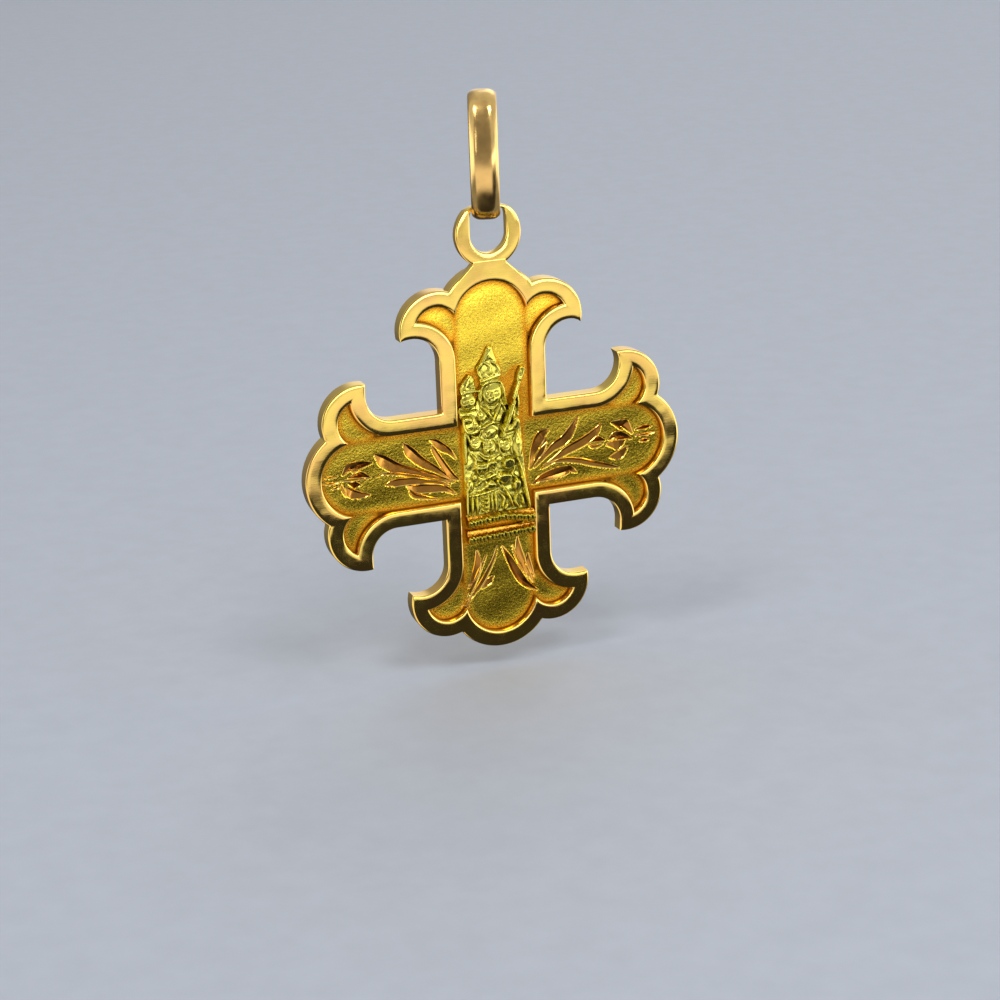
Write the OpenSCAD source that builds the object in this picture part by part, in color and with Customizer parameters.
/* [Cross] */
// Distance from the middle of the cross to the end of an arm
arm_reach = 11; // [10.5:0.1:12]
// Width of the straight part of an arm
bar_w = 6.15; // [5.8:0.05:6.4]
// Thickness of the plate through its raised rim
plate_t = 0.85; // [0.7:0.05:1.2]
// Width of the raised rim
rim_w = 0.9; // [0.7:0.05:1]
// Depth of the matted ground below the rim
ground_depth = 0.35; // [0.2:0.05:0.45]

/* [Arm ends] */
// Radius of the middle lobe
mid_lobe_r = 3.02; // [2.9:0.02:3.06]
// Radius of each side lobe
side_lobe_r = 2.17; // [2:0.01:2.3]
// Distance of a side lobe's centre from the middle line of its arm
side_lobe_x = 3.13; // [3:0.01:3.3]
// Distance of a side lobe's centre from the middle of the cross
side_lobe_z = 7.74; // [7.6:0.02:7.9]
// Distance of the top of the hollow under a side lobe from the middle line
hollow_x = 4.6; // [4.4:0.05:4.8]
// Distance of the top of that hollow from the middle of the cross
hollow_top = 7.4; // [7.3:0.02:7.5]

/* [Loop] */
// Outer radius of the loop
loop_r = 1.88; // [1.8:0.02:2.1]
// Radius of the round lower half of its hole
hole_r = 1.05; // [1.05:0.01:1.15]
// Thickness of the loop, front to back
loop_t = 0.5; // [0.4:0.05:0.55]
// Distance of the hole's centre from the middle of the cross
hole_z = 12.7; // [12.6:0.05:12.9]
// Height of the hole above its centre
hole_rise = 1.35; // [1.3:0.01:1.4]
// Half the width of the hole where it squares off at the top
hole_top_half = 1; // [0.98:0.01:1.04]
// Radius of the hole's top corners
hole_corner_r = 0.3; // [0.2:0.02:0.3]
// Thickness of the loop's bar above the hole
loop_bar_t = 0.3; // [0.25:0.01:0.4]
// Radius of the flattened top of the loop
loop_top_r = 3; // [2.6:0.1:4]

/* [Bail] */
// Height of the bail over its band
bail_h = 7; // [6.8:0.1:9]
// Depth of the bail over its band, front to back
bail_d = 4.4; // [4.2:0.1:4.8]
// Width of the band
band_w = 1.55; // [1.3:0.05:1.6]
// Thickness of the band in its middle
band_t = 0.45; // [0.35:0.05:0.5]
// Thickness of the band at its edges
band_edge_t = 0.2; // [0.15:0.01:0.3]
// Bevel along the band's two inner edges
band_bevel = 0.1; // [0.05:0.01:0.15]
// Outer radius of the bail's top and bottom bends
bend_r = 1.75; // [1.6:0.05:1.9]
// How far the bail is turned about its upright from the cross
bail_turn = 20; // [0:1:22]

/* [Figure] */
// Height of the robe's middle above the ground
robe_rise = 0.85; // [0.6:0.05:1]
// Height of the robe's edges above the ground
robe_edge_rise = 0.5; // [0.3:0.05:0.6]
// Radius of the mother's head
head_r = 0.52; // [0.45:0.01:0.56]
// Radius of the child's head
child_head_r = 0.46; // [0.4:0.01:0.5]
// Radius of the sceptre's shaft
shaft_r = 0.11; // [0.08:0.01:0.14]
// Gap between the figure's back and the ground
seat_gap = 0.02; // [0.01:0.005:0.04]

/* [Hidden] */
$fn = 96;
slack = 0.04;
overlap = 0.02;

// The bail. Heights are above the inside of its top bend, where it hangs.
inner_h = bail_h - 2 * band_t;
bail_mid_z = -inner_h / 2;
bend_z = bail_h / 2 - bend_r;
side_r = (bend_z * bend_z + bail_d * bail_d / 4 - bend_r * bend_r) / (bail_d - 2 * bend_r);
side_y = side_r - bail_d / 2;
side_angle = atan2(bend_z, side_y);
crown_rise = band_t - band_edge_t;
crown_r = (band_w * band_w / 4 + crown_rise * crown_rise) / (2 * crown_rise);

// The loop's bar lies across the turned bottom bend and rests on both edges of the band.
flat_half = band_w / 2 - band_bevel;
bend_in_r = bend_r - band_t;
rest_y = (loop_t / 2 + flat_half * sin(bail_turn)) / cos(bail_turn);
rest_rise = bend_in_r - sqrt(bend_in_r * bend_in_r - rest_y * rest_y);
hole_top = -inner_h + rest_rise + slack;

// The cross. Its middle is below the hanging point by this much.
cross_z = hole_top - hole_z - hole_rise;
front_y = -loop_t / 2;
back_y = front_y + plate_t;
ground_y = front_y + ground_depth;
mid_lobe_z = arm_reach - mid_lobe_r;
hollow_r = hollow_x - bar_w / 2;
// The hooks are cut by hand and differ a little. Each row is one arm, from the top arm and
// to the left, with its right and its left hook as the arm points up. The rise is added to
// the hollow's top, and the tip's radius is that of its outer stretch, out to the tip.
//       right rise, right tip's radius, left rise, left tip's radius
HOOKS = [
    [0.05, 0.95, 0.02, 2.2],
    [-0.02, 8, 0.02, 8],
    [-0.12, 1.8, -0.04, 8],
    [-0.06, 8, 0.08, 1.3],
];
foot_bottom = arm_reach - 0.45;
foot_top = arm_reach + 0.12;
foot_half = 1.55;
neck_half = 0.95;

// The figure. Heights are above the middle of the cross, and widths to the right of it.
figure_back = ground_y - seat_gap;
robe_curve = robe_rise - robe_edge_rise;
robe_half = 1.95;
robe_r = (robe_half * robe_half + robe_curve * robe_curve) / (2 * robe_curve);
// The robe's outline from the hem up
//       height, left, right
ROBE = [
    [-3.1, -1.82, 1.95],
    [-1.5, -1.84, 1.78],
    [0, -1.86, 1.64],
    [1.6, -1.84, 1.52],
    [2.3, -1.5, 1.36],
    [2.8, -0.7, 0.85],
    [3.1, -0.35, 0.3],
    [3.5, -0.3, 0.22],
];
// The two fringed steps of the plinth
//         bottom, top, left, right, rise
PLINTH = [
    [-4.66, -3.84, -1.88, 2.02, 0.8],
    [-3.86, -3.08, -1.9, 2, 0.92],
];
head_at = [-0.05, 3.85];
head_rise = 0.42;
child_at = [-1.45, 3.72];
child_rise = 0.36;
// The mother's crown as cones, from the head up
//        bottom, top, bottom radius, top radius
CROWN = [
    [4.3, 5.1, 0.44, 0.62],
    [5.1, 6.15, 0.62, 0.16],
];
crown_x = -0.2;
crown_knob_r = 0.19;
crown_knob_z = 6.28;
child_crown = [4.02, 4.85, 0.4, 0.12];
// The child's body, its lap and the mother's two sleeves, as balls
//       right, height, radius, rise
LIMBS = [
    [-1.34, 2.85, 0.58, 0.36],
    [-1.2, 2.15, 0.62, 0.46],
    [-1.12, 1.2, 0.48, 0.55],
    [0.72, 1.95, 0.4, 0.72],
    [1.2, 1.95, 0.36, 0.5],
];
shaft_from = [0.35, 1.6];
shaft_to = [1.5, 4.55];
knob_to = [1.58, 4.98];
knob_r = 0.2;
shaft_rise = 0.8;

module turn_about_x() {
    rotate([90, 0, 90]) children();
}

// The band's section at a given inner radius: flat inside, crowned outside
module band_section(inner_r) {
    intersection() {
        translate([inner_r + band_t - crown_r, 0]) circle(r = crown_r);
        polygon([
            [inner_r, -flat_half],
            [inner_r + band_bevel, -band_w / 2],
            [inner_r + band_t, -band_w / 2],
            [inner_r + band_t, band_w / 2],
            [inner_r + band_bevel, band_w / 2],
            [inner_r, flat_half],
        ]);
    }
}

// One arc of the bail, from one angle to another above the level
module band_arc(from, to, inner_r) {
    turn_about_x()
        rotate([0, 0, from])
            rotate_extrude(angle = to - from) band_section(inner_r);
}

module bail() {
    color([0.80, 0.56, 0.42])
        rotate([0, 0, -bail_turn])
            translate([0, 0, bail_mid_z])
                for (half = [0, 180]) {
                    rotate([half, 0, 0]) {
                        translate([0, 0, bend_z])
                            band_arc(side_angle, 180 - side_angle, bend_in_r);
                        translate([0, -side_y, 0])
                            band_arc(-side_angle, side_angle, side_r - band_t);
                    }
                }
}

// The plan of one hook's hollow, made wider by the width that the outline is set in
module hollow_plan(set_in, top, tip_r) {
    translate([hollow_x, top - hollow_r]) circle(r = hollow_r + set_in);
    intersection() {
        translate([hollow_x, top - tip_r]) circle(r = tip_r + set_in);
        translate([hollow_x, 0]) square([side_lobe_r, arm_reach]);
    }
}

// The plan of one arm that points up, with its outline set in by a given width
module arm_plan(set_in, hooks) {
    half = bar_w / 2 - set_in;
    translate([-half, 0]) square([2 * half, mid_lobe_z]);
    translate([0, mid_lobe_z]) circle(r = mid_lobe_r - set_in);
    for (side = [0, 1]) {
        mirror([side, 0]) {
            difference() {
                translate([side_lobe_x, side_lobe_z]) circle(r = side_lobe_r - set_in);
                hollow_plan(set_in, hollow_top + hooks[2 * side], hooks[2 * side + 1]);
            }
        }
    }
}

module cross_plan(set_in) {
    for (quarter = [0:3]) {
        rotate([0, 0, 90 * quarter]) arm_plan(set_in, HOOKS[quarter]);
    }
}

module loop_plan() {
    difference() {
        union() {
            intersection() {
                translate([0, hole_z]) circle(r = loop_r);
                translate([0, hole_z + hole_rise + loop_bar_t - loop_top_r]) circle(r = loop_top_r);
            }
            polygon([
                [-foot_half, foot_bottom],
                [foot_half, foot_bottom],
                [neck_half, foot_top],
                [-neck_half, foot_top],
            ]);
        }
        hole_plan();
    }
}

// The hole: half a circle below, squared off with round corners above
module hole_plan() {
    corner_x = hole_top_half - hole_corner_r;
    corner_z = hole_z + hole_rise - hole_corner_r;
    translate([0, hole_z]) circle(r = hole_r);
    translate([-hole_top_half, hole_z]) square([2 * hole_top_half, corner_z - hole_z]);
    translate([-corner_x, corner_z]) square([2 * corner_x, hole_corner_r]);
    for (side = [-1, 1]) {
        translate([side * corner_x, corner_z]) circle(r = hole_corner_r);
    }
}

// Stands a plan drawn in X and Y upright, between two distances to the back
module upright(from_y, to_y) {
    translate([0, to_y, cross_z])
        rotate([90, 0, 0])
            linear_extrude(height = to_y - from_y) children();
}

module cross() {
    color([0.85, 0.66, 0.28]) {
        difference() {
            upright(front_y, back_y) cross_plan(0);
            upright(front_y - overlap, ground_y) cross_plan(rim_w);
        }
        upright(front_y, front_y + loop_t) loop_plan();
    }
}

// A ball whose middle stands a given height above the ground
module ball(at, r, rise) {
    translate([at[0], ground_y - rise, at[1]]) sphere(r = r);
}

// An upright cone from one height to another
module cone(x, rise, bottom, top, bottom_r, top_r) {
    translate([x, ground_y - rise, bottom])
        cylinder(h = top - bottom, r1 = bottom_r, r2 = top_r);
}

// A round rod between two places on the front, at a given height above the ground
module rod(from, to, r, rise) {
    run = to - from;
    translate([from[0], ground_y - rise, from[1]])
        rotate([0, 90 - atan2(run[1], run[0]), 0])
            cylinder(h = norm(run), r = r);
}

// Everything in front of the robe's crowned face is cut away
module robe_crown(rise) {
    translate([0, ground_y - rise + robe_r, -arm_reach])
        cylinder(h = 2 * arm_reach, r = robe_r);
}

module robe() {
    outline = concat(
        [for (row = ROBE) [row[1], row[0]]],
        [for (i = [len(ROBE) - 1:-1:0]) [ROBE[i][2], ROBE[i][0]]]
    );
    intersection() {
        translate([0, figure_back, 0])
            rotate([90, 0, 0]) linear_extrude(height = 2 * robe_rise) polygon(outline);
        robe_crown(robe_rise);
    }
}

module plinth() {
    for (step = PLINTH) {
        intersection() {
            translate([step[2], ground_y - 2 * robe_rise, step[0]])
                cube([step[3] - step[2], 2 * robe_rise - seat_gap, step[1] - step[0]]);
            robe_crown(step[4]);
        }
    }
}

module heads() {
    ball(head_at, head_r, head_rise);
    ball([crown_x + 0.06, crown_knob_z], crown_knob_r, head_rise);
    for (tier = CROWN) {
        cone(crown_x, head_rise, tier[0], tier[1], tier[2], tier[3]);
    }
    ball(child_at, child_head_r, child_rise);
    cone(child_at[0], child_rise, child_crown[0], child_crown[1], child_crown[2], child_crown[3]);
}

module sceptre() {
    rod(shaft_from, shaft_to, shaft_r, shaft_rise);
    rod(shaft_to, knob_to, knob_r, shaft_rise - knob_r / 2);
}

module figure() {
    color([0.78, 0.78, 0.42])
        translate([0, 0, cross_z])
            intersection() {
                union() {
                    robe();
                    plinth();
                    heads();
                    sceptre();
                    for (limb = LIMBS) {
                        ball([limb[0], limb[1]], limb[2], limb[3]);
                    }
                }
                translate([-arm_reach, figure_back - arm_reach, -arm_reach])
                    cube([2 * arm_reach, arm_reach, 2 * arm_reach]);
            }
}

cross();
figure();
bail();
